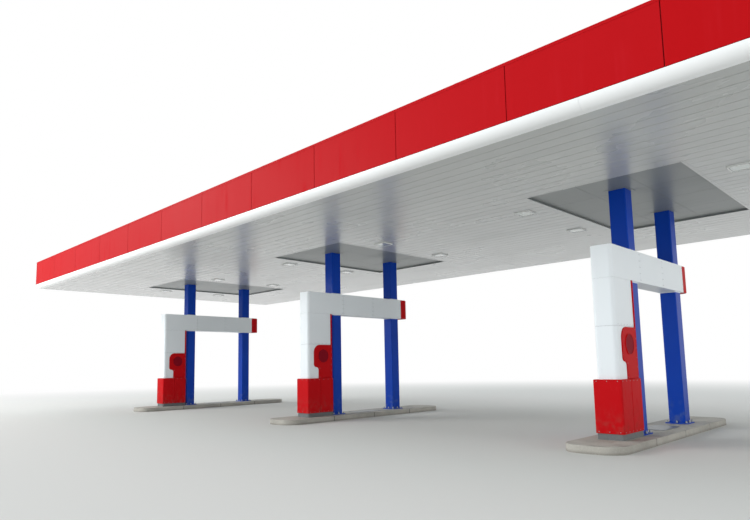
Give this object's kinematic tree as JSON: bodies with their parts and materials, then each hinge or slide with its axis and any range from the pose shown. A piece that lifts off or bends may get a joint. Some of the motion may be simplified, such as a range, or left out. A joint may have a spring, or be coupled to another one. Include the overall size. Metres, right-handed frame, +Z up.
{
  "type": "filling station canopy",
  "caption": "Flat forecourt canopy with a deep fascia band on pairs of square columns, each pair on a raised island with a box portal, over a ribbed roof frame.",
  "frame": {"origin": "on the ground, under the middle of the canopy", "axes": "+X along the canopy, +Y across it to the side away from the portal legs, +Z up"},
  "size_m": [29.2, 12.48, 6.6],
  "materials": {
    "plinth_concrete": "matt",
    "column_blue": "satin",
    "portal_white": "satin",
    "casing_red": "satin",
    "fascia_red": "satin",
    "trim_white": "satin",
    "soffit_white": "gloss",
    "tray_grey": "gloss",
    "light_fitting": "gloss",
    "steelwork": "matt",
    "zinc_steel": "matt",
    "roof_sheet": "satin",
    "bare_steel": "brushed"
  },
  "bodies": {
    "root": {"island_plinth_1": "plinth_concrete", "column_1_front": "column_blue", "column_1_rear": "column_blue", "portal_leg_1": "portal_white", "leg_base_1": "casing_red", "portal_beam_1": "portal_white", "soffit_tray_1": "tray_grey", "island_plinth_2": "plinth_concrete", "column_2_front": "column_blue", "column_2_rear": "column_blue", "portal_leg_2": "portal_white", "leg_base_2": "casing_red", "portal_beam_2": "portal_white", "soffit_tray_2": "tray_grey", "island_plinth_3": "plinth_concrete", "column_3_front": "column_blue", "column_3_rear": "column_blue", "portal_leg_3": "portal_white", "leg_base_3": "casing_red", "portal_beam_3": "portal_white", "soffit_tray_3": "tray_grey", "dispenser_seats": "bare_steel", "beam_caps": "casing_red", "cross_girders": "steelwork", "rafters": "steelwork", "beams_along": "steelwork", "purlins": "zinc_steel", "fascia_brackets": "zinc_steel", "roof_front": "roof_sheet", "roof_rear": "roof_sheet", "ridge_cap": "roof_sheet", "gutters": "zinc_steel", "fascia_front": "fascia_red", "fascia_rear": "fascia_red", "fascia_left": "fascia_red", "fascia_right": "fascia_red", "trim_front": "trim_white", "trim_rear": "trim_white", "trim_left": "trim_white", "trim_right": "trim_white", "soffit_front": "soffit_white", "soffit_rear": "soffit_white", "soffit_bays": "soffit_white", "soffit_rails": "zinc_steel", "soffit_lights": "light_fitting"}
  },
  "joints": []
}
